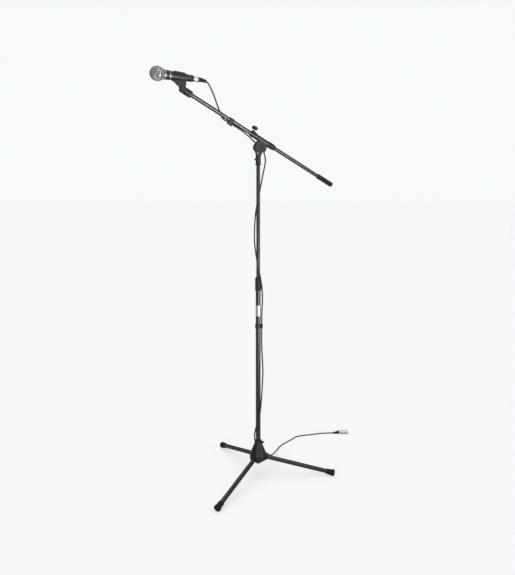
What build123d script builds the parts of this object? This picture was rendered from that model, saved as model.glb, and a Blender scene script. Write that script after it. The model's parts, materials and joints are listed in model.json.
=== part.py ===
"""Boom microphone stand: folding tripod, telescopic pole, tilting boom, microphone and its lead.

Millimetres, +Z up. The origin is on the floor, on the axis of the pole.
"""
from build123d import *
from math import acos, atan, cos, degrees, hypot, pi, radians, sin, tan
import os

# ---------------------------------------------------------------- driving dimensions
# tripod
LEG_AZIMUTHS = {"right": 0.0, "back": 121.5, "front": 241.0}
FOOT_REACH = 348.0          # pole axis to the end of a leg's axis
FOOT_AXIS_Z = 13.2          # height of that end
LEG_APEX_Z = 103.4          # where the three leg axes meet the pole axis
LEG_RADIUS = 9.8
PIN_REACH = 22.8            # pole axis to a leg's hinge pin
PIN_RADIUS = 2.5
PIN_HALF = 13.5             # half of a hinge pin's length
SLOT_WIDTH = 20.6
SLOT_INNER = 12.5           # radius of the slot's inner wall
HUB_BASE_Z = 67.3
HUB_TOP_Z = 171.0
HUB_RADIUS = 38.0
BUSH_RADIUS = 12.0
BUSH_BASE_Z = 140.0
SCREW_AZIMUTH = -15.0       # the hub's locking thumbscrew
SCREW_Z = 165.5
SCREW_RADIUS = 3.0

# pole
WALL = 1.2
LOWER_RADIUS = 10.8
LOWER_BASE_Z = 67.0
LOWER_TOP_Z = 893.0
UPPER_RADIUS = 8.0
UPPER_BASE_Z = 676.0
UPPER_TOP_Z = 1428.0
GRIP_BASE_Z = 866.5
GRIP_TOP_Z = 921.0
GRIP_RADIUS = 13.3
THREAD_RADIUS = 11.8        # the clutch's thread on the collar
LABEL_Z = (750.0, 798.0)
POLE_CLIP_Z = 704.5
POLE_CORD = (15.2, -3.0)    # the lead beside the lower tube, in its clip

# pivot and boom
PIVOT_Z = 1467.0
BOOM_AZIMUTH = 209.7        # direction of the microphone end, seen from above
BOOM_ELEVATION = 26.6
BOOM_HEIGHT = 40.1          # pivot axis to boom axis, square to the boom
BOOM_OFFSET = 16.0          # boom axis beyond the pole, on the far side
DISC_RADIUS = 19.3
FAR_DISC_RADIUS = 18.5
BOLT_RADIUS = 4.0
NUT_RADIUS = 11.0
NUT_FAR = (13.3, 25.5)      # the tilt hand nut, from the pole axis to the far side
BOOM_RADIUS = 8.0
BOOM_FRONT = 345.0
BOOM_REAR = -416.0
CLAMP_FRONT = 50.0
CLAMP_REAR = -41.0
CLAMP_RADIUS = 11.0
COLLAR_REAR = -78.0
KNOB_STATION = 42.0
BOOM_CLIP_STATION = 151.0
BOOM_CORD_DROP = 11.5       # boom axis to the lead held under it

# microphone and its clip
CLIP_STATION = 382.0        # clip's tilt axis along the boom
MIC_ELEVATION = 2.5
MIC_HEIGHT = 46.6           # tilt axis to microphone axis
MIC_LEAD = 108.7            # tilt axis to the centre of the ball
MIC_TAIL = 148.0            # rear of the handle behind the ball's centre
PIN_ROOT = 132.0            # front face of the connector insert's pins
BALL_RADIUS = 27.0
TONGUE_HALF = 6.0           # half thickness of the cradle's tongue between the ears
KNUCKLE_RADIUS = 2.5
SOCKET_END = 168.0          # rear of the lead's socket behind the ball's centre
BOOT_END = 203.5
BOOT_DROP = 3.6             # how far the soft strain relief sags
BOOT_TURN = 24.0

# lead
CORD_RADIUS = 3.0
PLUG_END = Vector(400, 462, 4.4)
PLUG_AZIMUTH = 0.0
RUNNING = 0.05              # radial clearance of a running fit
GAP = 0.3                   # space between neighbouring moving parts

PARTS = {}


# ---------------------------------------------------------------- frames
def direction(azimuth, elevation=0.0):
    """The unit vector at an azimuth and an elevation, in degrees."""
    a = radians(azimuth)
    e = radians(elevation)
    return Vector(cos(e) * cos(a), cos(e) * sin(a), sin(e))


FAR = direction(BOOM_AZIMUTH - 90)
BOOM_FLAT = direction(BOOM_AZIMUTH)
BOOM_DIR = direction(BOOM_AZIMUTH, BOOM_ELEVATION)
PIVOT = Vector(0, 0, PIVOT_Z)
# x along the boom to the microphone, y up and square to it, z to the far side
TILT = Plane(origin=PIVOT, x_dir=BOOM_DIR, z_dir=FAR)
BOOM_UP = TILT.y_dir
BOOM_ORIGIN = PIVOT + BOOM_UP * BOOM_HEIGHT + FAR * BOOM_OFFSET
# as TILT, but on the boom's axis; and the same with z along the boom
BOOM = Plane(origin=BOOM_ORIGIN, x_dir=BOOM_DIR, z_dir=FAR)
BOOM_AXIS = Plane(origin=BOOM_ORIGIN, x_dir=BOOM_UP, z_dir=BOOM_DIR)
MIC_DIR = direction(BOOM_AZIMUTH, MIC_ELEVATION)
MIC_UP = FAR.cross(MIC_DIR)
KNUCKLE = BOOM_ORIGIN + BOOM_DIR * CLIP_STATION
BALL = KNUCKLE + MIC_DIR * MIC_LEAD + MIC_UP * MIC_HEIGHT
# x to the rear of the microphone, y up, z to the near side; and the same with z to the rear
MIC = Plane(origin=BALL, x_dir=-MIC_DIR, z_dir=-FAR)
MIC_AXIS = Plane(origin=BALL, x_dir=MIC_UP, z_dir=-MIC_DIR)

LEG_SLOPE = atan((LEG_APEX_Z - FOOT_AXIS_Z) / FOOT_REACH)
PIN_Z = LEG_APEX_Z - PIN_REACH * tan(LEG_SLOPE)
LEG_LENGTH = (FOOT_REACH - PIN_REACH) / cos(LEG_SLOPE)


def leg_frame(azimuth):
    """Origin on the hinge pin, z along the leg to its foot, x up, y along the pin."""
    along = direction(azimuth, -degrees(LEG_SLOPE))
    out = direction(azimuth)
    return Plane(
        origin=out * PIN_REACH + Vector(0, 0, PIN_Z),
        x_dir=Vector(0, 0, cos(LEG_SLOPE)) + out * sin(LEG_SLOPE),
        z_dir=along,
    )


# ---------------------------------------------------------------- shapes
def rod(radius, low, high):
    """A cylinder about Z between two heights."""
    return Pos(0, 0, low) * Cylinder(radius, high - low, align=(Align.CENTER, Align.CENTER, Align.MIN))


def tube(outer, inner, low, high):
    """A pipe about Z between two heights."""
    return rod(outer, low, high) - rod(inner, low - 1, high + 1)


def turned(*points):
    """A solid of revolution about Z, from its outline as (radius, height) points."""
    return revolve(make_face(Plane.XZ * Polyline(*points, close=True)), Axis.Z)


def slab(points, low, high):
    """A flat plate in XY from its outline, between two heights."""
    face = make_face(Polyline(*points, close=True))
    return Pos(0, 0, low) * extrude(face, high - low)


def block(x, y, z):
    """A box from its (low, high) pair on each axis."""
    return Pos(x[0], y[0], z[0]) * Box(x[1] - x[0], y[1] - y[0], z[1] - z[0], align=Align.MIN)


def across(radius, x, y, low, high):
    """A cylinder along Z at (x, y)."""
    return Pos(x, y, 0) * rod(radius, low, high)


def crosswise(radius, length, z=0.0):
    """A cylinder along Y, centred, at height z."""
    return Pos(0, 0, z) * Rot(90, 0, 0) * Cylinder(radius, length)


def hexagon(across_flats, low, high):
    """A hexagonal head or nut about Z."""
    face = RegularPolygon(across_flats / 2, 6, major_radius=False)
    return Pos(0, 0, low) * extrude(face, high - low)


def keep(name, shape):
    PARTS[name] = shape


# ---------------------------------------------------------------- tripod
def slot_roof(radius):
    """Height of a leg slot's roof at a distance from the pole axis."""
    return LEG_APEX_Z - radius * tan(LEG_SLOPE) + (LEG_RADIUS + GAP) / cos(LEG_SLOPE)


def make_hub():
    """The cast hub: a flared skirt with three leg slots, a pole bore and a seat for the bush."""
    rim = 84.0
    skirt = Spline((HUB_RADIUS, 90), (36.8, 108), (31, 125), (22.5, 146), (16.5, 163))
    outline = Polyline(
        (16.5, 163), (16.5, HUB_TOP_Z), (BUSH_RADIUS, HUB_TOP_Z), (BUSH_RADIUS, BUSH_BASE_Z),
        (LOWER_RADIUS + RUNNING, BUSH_BASE_Z), (LOWER_RADIUS + RUNNING, HUB_BASE_Z),
        (14, HUB_BASE_Z), (HUB_RADIUS - 1.5, rim), (HUB_RADIUS, rim + 1.5), (HUB_RADIUS, 90),
    )
    hub = revolve(make_face(Plane.XZ * (skirt + outline)), Axis.Z)
    hood_width = SLOT_WIDTH + 6
    hood = block((-LEG_RADIUS, LEG_RADIUS + 3), (-hood_width / 2, hood_width / 2), (8, 20))
    far = 60.0
    slot = slab(
        [(SLOT_INNER, 0), (far, 0), (far, slot_roof(far)), (SLOT_INNER, slot_roof(SLOT_INNER))],
        -SLOT_WIDTH / 2, SLOT_WIDTH / 2,
    )
    for azimuth in LEG_AZIMUTHS.values():
        hub += leg_frame(azimuth) * fillet(hood.edges().filter_by(Axis.Z).group_by(Axis.X)[-1], 2.5)
    boss = rod(5.5, 14, 18.5)
    hub += thumbscrew_frame() * boss
    for azimuth in LEG_AZIMUTHS.values():
        hub -= Rot(0, 0, azimuth) * (Rot(90, 0, 0) * slot)
        hub -= leg_frame(azimuth) * crosswise(PIN_RADIUS, 2 * PIN_HALF)
    hub -= thumbscrew_frame() * rod(SCREW_RADIUS + RUNNING, 10, 24)
    hub -= rod(LOWER_RADIUS + RUNNING, HUB_BASE_Z - 1, BUSH_BASE_Z + 1)
    keep("hub", hub)


def thumbscrew_frame():
    """Origin on the pole axis, z out along the locking screw, x up."""
    return Plane(origin=(0, 0, SCREW_Z), x_dir=(0, 0, 1), z_dir=direction(SCREW_AZIMUTH))


def make_hub_fittings():
    """The guide bush in the hub's mouth, the hinge pins and the locking thumbscrew."""
    inner = LOWER_RADIUS + RUNNING
    bush = turned(
        (inner, BUSH_BASE_Z), (BUSH_RADIUS, BUSH_BASE_Z), (BUSH_RADIUS, HUB_TOP_Z), (16.2, HUB_TOP_Z),
        (15.4, HUB_TOP_Z + 3), (inner + 0.8, HUB_TOP_Z + 3), (inner, HUB_TOP_Z + 2),
    )
    keep("hub_bush", bush - thumbscrew_frame() * rod(SCREW_RADIUS + RUNNING, 9, 14))
    pin = crosswise(PIN_RADIUS, 2 * PIN_HALF)
    keep("leg_pins", Compound([leg_frame(a) * pin for a in LEG_AZIMUTHS.values()]))
    wing = slab([(-11, 20), (-12, 26), (-4, 23.5), (4, 23.5), (12, 26), (11, 20), (4, 19), (-4, 19)], -3, 3)
    screw = rod(SCREW_RADIUS, LOWER_RADIUS + GAP, 22) + rod(5, 19, 25)
    wing_tilt = 78.0
    head = Rot(0, 0, wing_tilt) * (Rot(90, 0, 0) * wing)
    keep("hub_thumbscrew", thumbscrew_frame() * (screw + head))


def make_leg(name, azimuth):
    """A leg tube with its pivot fitting and its rubber foot."""
    frame = leg_frame(azimuth)
    bore = LEG_RADIUS - WALL
    start = 9.0
    foot_start = LEG_LENGTH - 37.5
    keep(f"leg_{name}", frame * tube(LEG_RADIUS, bore, start, LEG_LENGTH - 4))
    eye = 8.4
    tongue = crosswise(eye, 15) + block((-eye, eye), (-7.5, 7.5), (0, start))
    fitting = tongue + rod(bore, start, 42) - crosswise(PIN_RADIUS + RUNNING, 20)
    keep(f"leg_{name}_fitting", frame * fitting)
    foot = turned(
        (LEG_RADIUS, foot_start), (11.6, foot_start), (12.4, foot_start + 1), (12.4, foot_start + 5),
        (11.9, foot_start + 6.5), (12.6, foot_start + 16), (14.4, foot_start + 30),
        (15.1, foot_start + 33), (15.1, LEG_LENGTH - 2), (14.0, LEG_LENGTH), (0, LEG_LENGTH),
        (0, LEG_LENGTH - 4), (LEG_RADIUS, LEG_LENGTH - 4),
    )
    below = block((0, 500), (-500, 500), (-50, 0))
    keep(f"leg_{name}_foot", frame * foot - Rot(0, 0, azimuth) * below)


# ---------------------------------------------------------------- pole
def make_lower_pole():
    """The lower tube with its end plug, label plate and the fixed half of the height clutch."""
    bore = LOWER_RADIUS - WALL
    keep("lower_tube", tube(LOWER_RADIUS, bore, LOWER_BASE_Z, LOWER_TOP_Z))
    flange = turned((0, 63.2), (10, 63.2), (11.5, 64.7), (11.5, LOWER_BASE_Z), (0, LOWER_BASE_Z))
    keep("lower_tube_plug", flange + rod(bore, LOWER_BASE_Z, LOWER_BASE_Z + 16))
    plate = tube(LOWER_RADIUS + 0.5, LOWER_RADIUS, *LABEL_Z)
    wedge = 40.0
    facing = slab([(0, 0), (-wedge, -wedge * 0.5), (-wedge, -wedge), (wedge * 0.5, -wedge)], *LABEL_Z)
    keep("label_plate", plate & facing)
    flange_z = GRIP_BASE_Z - GAP - 4
    base = turned(
        (LOWER_RADIUS, flange_z), (12.2, flange_z), (12.8, flange_z + 1), (12.8, flange_z + 4),
        (THREAD_RADIUS, flange_z + 4), (THREAD_RADIUS, LOWER_TOP_Z), (LOWER_RADIUS, LOWER_TOP_Z),
    )
    keep("clutch_base", base)


def make_height_clutch():
    """The split collet on the upper tube and the turning grip that squeezes it."""
    inner = UPPER_RADIUS + RUNNING
    top = 914.0
    collet = turned(
        (inner, LOWER_TOP_Z), (10.6, LOWER_TOP_Z), (10.6, LOWER_TOP_Z + 4), (9.0, top), (inner, top),
    )
    slit = block((0, 20), (-0.6, 0.6), (LOWER_TOP_Z + 7, top + 1))
    for turn in range(4):
        collet -= Rot(0, 0, 45 + 90 * turn) * slit
    keep("clutch_collet", collet)
    thread = THREAD_RADIUS + RUNNING
    grip = turned(
        (thread, GRIP_BASE_Z), (GRIP_RADIUS - 1, GRIP_BASE_Z), (GRIP_RADIUS, GRIP_BASE_Z + 2),
        (GRIP_RADIUS, GRIP_TOP_Z - 6), (GRIP_RADIUS - 2.6, GRIP_TOP_Z), (UPPER_RADIUS + GAP, GRIP_TOP_Z),
        (UPPER_RADIUS + GAP, top + 1), (9.4, top + 1), (thread, LOWER_TOP_Z + 4),
    )
    flute = rod(1.1, GRIP_BASE_Z + 5, GRIP_TOP_Z - 9)
    flutes = 18
    for n in range(flutes):
        grip -= Rot(0, 0, 360 / flutes * n) * (Pos(GRIP_RADIUS + 0.4, 0, 0) * flute)
    keep("clutch_grip", grip)


def make_upper_pole():
    """The upper tube and the guide bush on its hidden lower end."""
    keep("upper_tube", tube(UPPER_RADIUS, UPPER_RADIUS - WALL, UPPER_BASE_Z, UPPER_TOP_Z))
    bush_radius = LOWER_RADIUS - WALL - RUNNING
    keep("upper_bush", tube(bush_radius, UPPER_RADIUS, UPPER_BASE_Z, UPPER_BASE_Z + 30))


def make_pole_clip():
    """A spring clip on the lower tube, with a hook for the lead on the right."""
    height = (POLE_CLIP_Z - 9, POLE_CLIP_Z + 9)
    wall = 2.0
    hook_x, hook_y = POLE_CORD
    hook_inner = CORD_RADIUS + GAP
    clip = rod(LOWER_RADIUS + wall, *height)
    clip += across(hook_inner + wall, hook_x, hook_y, *height)
    clip -= across(hook_inner, hook_x, hook_y, 0, LOWER_TOP_Z)
    clip -= block((hook_x - 1.5, hook_x + 1.5), (-20, hook_y), (0, LOWER_TOP_Z))
    clip -= slab([(0, 0), (-30, 19), (-30, -19)], height[0] - 1, height[1] + 1)
    lip = 2.2
    for side in (-1, 1):
        clip += across(lip, -LOWER_RADIUS - 0.2, side * 7.4, *height)
    clip -= rod(LOWER_RADIUS, 0, LOWER_TOP_Z)
    keep("pole_clip", clip)


# ---------------------------------------------------------------- pivot head
def make_swivel_head():
    """The head on the pole: a socket and neck carrying the near pivot disc."""
    near = -12.0
    face = 1.8
    socket_base = 1395.0
    socket_top = 1433.0
    socket_radius = 10.7
    disc = TILT * rod(DISC_RADIUS, near, face)
    rim = TILT * tube(DISC_RADIUS, DISC_RADIUS - 2.5, near - 1, near)
    across_pole = Plane(origin=(0, 0, socket_top - 3), x_dir=BOOM_FLAT, z_dir=(0, 0, 1))
    upper = Plane(origin=(0, 0, PIVOT_Z - 17.5), x_dir=BOOM_FLAT, z_dir=(0, 0, 1))
    shoulder = upper * (Pos(0, -(near + face) / 2) * RectangleRounded(30, face - near, 2))
    neck = loft([across_pole * Circle(10.5), shoulder])
    neck += extrude(shoulder, 7, dir=(0, 0, 1))
    socket = rod(socket_radius, socket_base, socket_top - 3)
    socket += turned(
        (9, socket_top - 3), (socket_radius, socket_top - 3), (9.4, socket_top), (0, socket_top), (0, socket_top - 3),
    )
    flange = turned(
        (UPPER_RADIUS, socket_base), (13.2, socket_base), (14, socket_base + 0.8),
        (14, socket_base + 2.4), (socket_radius, socket_base + 3.6), (UPPER_RADIUS, socket_base + 3.6),
    )
    rib = block((socket_radius - 0.8, socket_radius + 1.1), (-1.1, 1.1), (socket_base + 3, socket_top - 4))
    head = disc + rim + neck + socket + flange
    for turn in range(6):
        head += Rot(0, 0, 30 + 60 * turn) * rib
    head += set_screw_frame() * rod(4.2, 8, 14)
    head -= rod(UPPER_RADIUS + RUNNING, socket_base - 1, UPPER_TOP_Z + GAP)
    head -= set_screw_frame() * rod(2.5, 5, 15)
    head -= TILT * rod(11.5, near - 2, near + 3)
    head -= TILT * hexagon(13, near + 2, near + 7.5)
    head -= TILT * rod(BOLT_RADIUS, near, face + 1)
    keep("swivel_head", head)
    keep("head_screw", set_screw_frame() * (rod(2.5, UPPER_RADIUS + GAP, 14) + rod(3.6, 14, 16)))


def set_screw_frame():
    """Origin on the pole axis, z out along the head's set screw."""
    return Plane(origin=(0, 0, 1419), x_dir=(0, 0, 1), z_dir=(-1, 0, 0))


def make_pivot_hardware():
    """The pivot bolt, the friction washer and the tilt knob on the far side."""
    bolt = hexagon(13, -10, -4.5) + rod(BOLT_RADIUS, -4.5, NUT_FAR[1] - 3)
    keep("pivot_bolt", TILT * bolt)
    keep("pivot_washer", TILT * tube(17, BOLT_RADIUS + RUNNING, 1.8, 3.8))
    low, high = NUT_FAR
    bore = BOLT_RADIUS + RUNNING
    knob = turned(
        (bore, low), (NUT_RADIUS - 1.5, low), (NUT_RADIUS, low + 1.5), (NUT_RADIUS, high - 4),
        (NUT_RADIUS - 2, high - 1.2), (5, high), (0, high), (0, high - 2), (bore, high - 2),
    )
    notch = rod(1.2, low - 1, high + 1)
    notches = 16
    for n in range(notches):
        knob -= Rot(0, 0, 360 / notches * n) * (Pos(NUT_RADIUS + 0.5, 0, 0) * notch)
    keep("tilt_knob", TILT * knob)


def make_boom_clamp():
    """The clamp that holds the boom, with the far pivot disc, its screws and the pressure pad."""
    disc_low = 4.1
    disc_high = NUT_FAR[0] - GAP
    web_high = 18.0
    disc = rod(FAR_DISC_RADIUS, disc_low, disc_high)
    foot_y = 2.0
    reach = hypot(CLAMP_REAR, foot_y)
    touch = acos(FAR_DISC_RADIUS / reach) + pi - atan(-foot_y / CLAMP_REAR)
    web = slab(
        [(5, BOOM_HEIGHT), (CLAMP_REAR, BOOM_HEIGHT), (CLAMP_REAR, foot_y),
         (FAR_DISC_RADIUS * cos(touch), FAR_DISC_RADIUS * sin(touch)), (17, 4)],
        disc_low + 2, web_high,
    )
    nut_room = rod(NUT_RADIUS + 1, disc_high, web_high + 1)
    body = TILT * (disc + web - nut_room - rod(BOLT_RADIUS + RUNNING, 0, 30))
    sleeve = rod(CLAMP_RADIUS, CLAMP_REAR, CLAMP_FRONT)
    sleeve += turned(
        (CLAMP_RADIUS, 36), (12.6, 37), (12.6, 43), (CLAMP_RADIUS, 44), (8, 44), (8, 36),
    )
    sleeve += rod(9.8, CLAMP_REAR - 18, CLAMP_REAR)
    body += BOOM_AXIS * sleeve
    fin = slab([(50, 0), (50, 12), (47, 16), (41, 16), (12, 8), (12, 0)], -5.5, 5.5)
    body += BOOM * fin
    body -= BOOM_AXIS * rod(BOOM_RADIUS + RUNNING, CLAMP_REAR - 30, CLAMP_FRONT + 10)
    body -= knob_frame() * rod(SCREW_RADIUS + RUNNING, BOOM_RADIUS, 20)
    heads = []
    for x, y in ((-35, 29), (-34, 9)):
        body -= TILT * across(1.8, x, y, disc_low - 4, disc_low + 14)
        heads.append(TILT * (across(1.8, x, y, disc_low + 2, disc_low + 14) + across(3.4, x, y, disc_low, disc_low + 2)))
    keep("boom_clamp", body)
    keep("clamp_screws", Compound(heads))
    keep("clamp_pad", knob_frame() * rod(SCREW_RADIUS, 8.2, 11))
    collar_front = CLAMP_REAR - 2
    collar = turned(
        (10, collar_front), (11.7, collar_front), (12.4, collar_front - 1.5), (12.4, COLLAR_REAR + 12),
        (11, COLLAR_REAR + 3), (9.8, COLLAR_REAR), (BOOM_RADIUS + GAP, COLLAR_REAR),
        (BOOM_RADIUS + GAP, COLLAR_REAR + 14), (10, COLLAR_REAR + 18),
    )
    keep("boom_collar", BOOM_AXIS * collar)


def knob_frame():
    """Origin on the boom axis under the clamp knob, z up along its screw."""
    return Plane(origin=BOOM_ORIGIN + BOOM_DIR * KNOB_STATION, x_dir=BOOM_DIR, z_dir=BOOM_UP)


def make_clamp_knob():
    """The knob on top of the clamp and its steel screw."""
    head = turned(
        (0, 22), (4.5, 22), (6, 23.5), (11.6, 23.5), (12.6, 25), (12.6, 32), (11.4, 33.4), (0, 33.4),
    )
    grip = rod(1.5, 23, 34)
    notches = 12
    for n in range(notches):
        head -= Rot(0, 0, 360 / notches * n) * (Pos(13.2, 0, 0) * grip)
    screw_top = 29.0
    keep("boom_knob", knob_frame() * (head - rod(SCREW_RADIUS, 20, screw_top)))
    keep("boom_knob_screw", knob_frame() * rod(SCREW_RADIUS, 11.3, screw_top))


# ---------------------------------------------------------------- boom
def make_boom():
    """The boom tube, its threaded end, its rubber grip and the cable clip on it."""
    keep("boom_tube", BOOM_AXIS * tube(BOOM_RADIUS, BOOM_RADIUS - WALL, BOOM_REAR, BOOM_FRONT))
    stud = rod(BOOM_RADIUS - WALL, BOOM_FRONT - 24, BOOM_FRONT) + rod(7.9, BOOM_FRONT, BOOM_FRONT + 18)
    keep("boom_stud", BOOM_AXIS * stud)
    front = -332.0
    end = BOOM_REAR - 4
    grip = turned(
        (BOOM_RADIUS, front), (9.2, front), (10.6, front - 2), (10.6, end + 2.5), (8.5, end), (0, end),
        (0, BOOM_REAR), (BOOM_RADIUS, BOOM_REAR),
    )
    groove = tube(12, 9.9, -1, 1)
    for station in range(-404, -336, 8):
        grip -= Pos(0, 0, station) * groove
    keep("boom_grip", BOOM_AXIS * grip)
    half = 10.0
    wall = 2.2
    hook_wall = 5.6
    ends = (BOOM_CLIP_STATION - half, BOOM_CLIP_STATION + half)
    ring = rod(BOOM_RADIUS + wall, *ends) + Pos(-BOOM_CORD_DROP, 0, 0) * rod(CORD_RADIUS + hook_wall, *ends)
    ring -= rod(BOOM_RADIUS, ends[0] - 1, ends[1] + 1)
    ring -= Pos(-BOOM_CORD_DROP, 0, 0) * rod(CORD_RADIUS + GAP, ends[0] - 1, ends[1] + 1)
    keep("boom_clip", BOOM_AXIS * ring)


# ---------------------------------------------------------------- microphone clip
def make_clip_base():
    """The clip's threaded base with its two ears, and the bolt through them."""
    outer = 14.0
    step = CLIP_STATION - 12
    ear_half = 12.0
    foot_z = BOOM_FRONT + 1.4
    base = turned(
        (8.0, foot_z), (12.8, foot_z), (outer, foot_z + 1.6), (outer, step),
        (0, step), (0, BOOM_FRONT + 19), (8.0, BOOM_FRONT + 19),
    )
    rib = rod(1.0, foot_z + 4, step - 4)
    ribs = 20
    for n in range(ribs):
        base -= Rot(0, 0, 360 / ribs * n) * (Pos(outer + 0.3, 0, 0) * rib)
    ears = across(outer, CLIP_STATION, 0, -ear_half, ear_half)
    ears += block((step - 1, CLIP_STATION), (-outer, outer), (-ear_half, ear_half))
    ears &= Rot(0, 90, 0) * rod(outer, step - 1, CLIP_STATION + outer)
    slot = block((step, CLIP_STATION + 20), (-20, 20), (-TONGUE_HALF - GAP, TONGUE_HALF + GAP))
    hole = across(KNUCKLE_RADIUS, CLIP_STATION, 0, -20, 20)
    keep("clip_base", BOOM_AXIS * base + BOOM * (ears - slot - hole))
    bolt = across(KNUCKLE_RADIUS, CLIP_STATION, 0, -ear_half - 2, ear_half)
    head = across(4.6, CLIP_STATION, 0, ear_half, ear_half + 2.6)
    nut = Pos(CLIP_STATION, 0, 0) * hexagon(8, -ear_half - 4, -ear_half)
    keep("clip_bolt", BOOM * (bolt + head + nut))


def mic_radius(x):
    """Radius of the microphone's tapered handle at a distance behind the ball's centre."""
    return 17.2 - (x - 52) * 0.052


def make_clip_cradle():
    """The spring cradle round the microphone, with its flared lips, stem and tongue."""
    front = 66.0
    rear = 113.5
    wall = 2.6
    inner = [(mic_radius(front), front), (mic_radius(rear), rear)]
    outer = [(r + wall, x) for r, x in inner]
    flare = [(r + wall + 1.4, x) for r, x in inner]
    sleeve = turned(inner[0], outer[0], outer[1], inner[1])
    sleeve += turned(
        (inner[0][0], front), (outer[0][0] + 1.6, front), (outer[0][0] + 1.6, front + 3), (inner[0][0], front + 3),
    )
    lips = turned(outer[0], flare[0], flare[1], outer[1])
    lip_wedge = slab([(15, 10.5), (30, 21), (30, 15), (15, 7.5)], front, rear)
    lips &= lip_wedge + mirror(lip_wedge, Plane.XZ)
    mouth = slab([(0, 0), (40, 22), (40, -22)], front - 1, rear + 1)
    cradle = MIC_AXIS * (sleeve - mouth + (lips - mouth))
    knuckle = (MIC_LEAD, -MIC_HEIGHT)
    tongue = slab([(82, -24), (rear + 1, -24), (rear + 5, -46), (97, -46)], -TONGUE_HALF, TONGUE_HALF)
    tongue += across(11.5, *knuckle, -TONGUE_HALF, TONGUE_HALF)
    gusset = slab([(66, -14), (rear + 3, -12), (rear + 4, -27), (rear, -30.5), (84, -30.5)], -9, 9)
    stem = tongue + fillet(gusset.edges().filter_by(Axis.Z), 1.5)
    stem -= across(KNUCKLE_RADIUS + RUNNING, *knuckle, -10, 10)
    handle = turned((0, 40), (mic_radius(40), 40), (mic_radius(MIC_TAIL), MIC_TAIL), (0, MIC_TAIL))
    keep("clip_cradle", cradle + (MIC * stem - MIC_AXIS * handle))


# ---------------------------------------------------------------- microphone
def make_microphone():
    """The ball grille in two halves with its band, the capsule, the handle and its connector."""
    mesh = 1.4
    band = (2.5, 7.0)
    neck = 28.0
    ball = Sphere(BALL_RADIUS) - Sphere(BALL_RADIUS - mesh)
    front = ball & block((-40, 40), (-40, 40), (-40, band[0]))
    keep("mic_grille_front", MIC_AXIS * front)
    keep("mic_band", MIC_AXIS * turned(
        (BALL_RADIUS - 2.2, band[0]), (BALL_RADIUS, band[0]), (BALL_RADIUS + 0.7, band[0] + 0.9),
        (BALL_RADIUS + 0.7, band[1] - 0.9), (BALL_RADIUS - 0.4, band[1]), (BALL_RADIUS - 2.2, band[1]),
    ))
    back_outer = ThreePointArc((BALL_RADIUS - 0.6, band[1]), (24.2, 16.5), (18.2, neck))
    back_inner = ThreePointArc((16.8, neck), (22.8, 16), (BALL_RADIUS - 2.0, band[1]))
    back = back_outer + Line((18.2, neck), (16.8, neck)) + back_inner
    back += Line((BALL_RADIUS - 2.0, band[1]), (BALL_RADIUS - 0.6, band[1]))
    keep("mic_grille_back", MIC_AXIS * revolve(make_face(Plane.XZ * back), Axis.Z))
    collar_end = 33.0
    trim = (48.0, 52.0)
    collar = turned((14, neck), (18.2, neck), (18.6, neck + 1), (18.2, collar_end), (14, collar_end))
    groove = mic_radius(trim[0]) - 0.8
    ring = turned(
        (groove, trim[0]), (mic_radius(trim[0]) + 0.25, trim[0]),
        (mic_radius(trim[1]) + 0.25, trim[1]), (groove, trim[1]),
    )
    keep("mic_rings", Compound([MIC_AXIS * collar, MIC_AXIS * ring]))
    body = turned(
        (14, collar_end), (17.6, collar_end), (17.9, collar_end + 2), (mic_radius(trim[0]) + 0.2, trim[0]),
        (groove, trim[0]), (groove, trim[1]), (mic_radius(trim[1]), trim[1]),
        (mic_radius(MIC_TAIL - 1), MIC_TAIL - 1), (mic_radius(MIC_TAIL) - 1, MIC_TAIL), (8.6, MIC_TAIL),
        (8.6, PIN_ROOT - 8), (12.6, 60), (14, 50),
    )
    keep("mic_body", MIC_AXIS * body)
    capsule = turned(
        (0, -10), (11, -10), (12, -9), (12, 8), (9, 10), (9, 28), (14, 30), (14, 34), (0, 34),
    )
    keep("mic_capsule", MIC_AXIS * capsule)
    insert = rod(8.6, PIN_ROOT - 6, PIN_ROOT)
    pin = rod(1.2, PIN_ROOT, PIN_ROOT + 14)
    for turn in (-60, 0, 60):
        insert += Rot(0, 0, turn) * (Pos(-4.2, 0, 0) * pin)
    keep("mic_connector", MIC_AXIS * insert)


def make_lead_socket():
    """The lead's socket in the tail of the handle, and its tapered strain relief."""
    nose = turned(
        (0, PIN_ROOT + 1), (7.6, PIN_ROOT + 1), (8.3, PIN_ROOT + 2), (8.3, MIC_TAIL + 1),
        (9.4, MIC_TAIL + 1), (9.7, MIC_TAIL + 1.6), (9.7, SOCKET_END - 1), (9.0, SOCKET_END), (0, SOCKET_END),
    )
    hole = rod(1.2 + RUNNING, PIN_ROOT, PIN_ROOT + 15)
    for turn in (-60, 0, 60):
        nose -= Rot(0, 0, turn) * (Pos(-4.2, 0, 0) * hole)
    keep("lead_socket", MIC_AXIS * nose)
    sections = [
        Pos(0, 0, SOCKET_END) * Circle(9.2),
        Pos(0, 0, SOCKET_END + 15) * Rot(0, -BOOT_TURN * 0.25, 0) * Circle(7.9),
        Pos(-BOOT_DROP, 0, BOOT_END) * Rot(0, -BOOT_TURN, 0) * Circle(5.6),
    ]
    keep("socket_boot", MIC_AXIS * loft(sections))


# ---------------------------------------------------------------- lead
def boom_point(x, y, z):
    """A point given along the boom, square up from it and to its far side."""
    return BOOM.from_local_coords(Vector(x, y, z))


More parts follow.
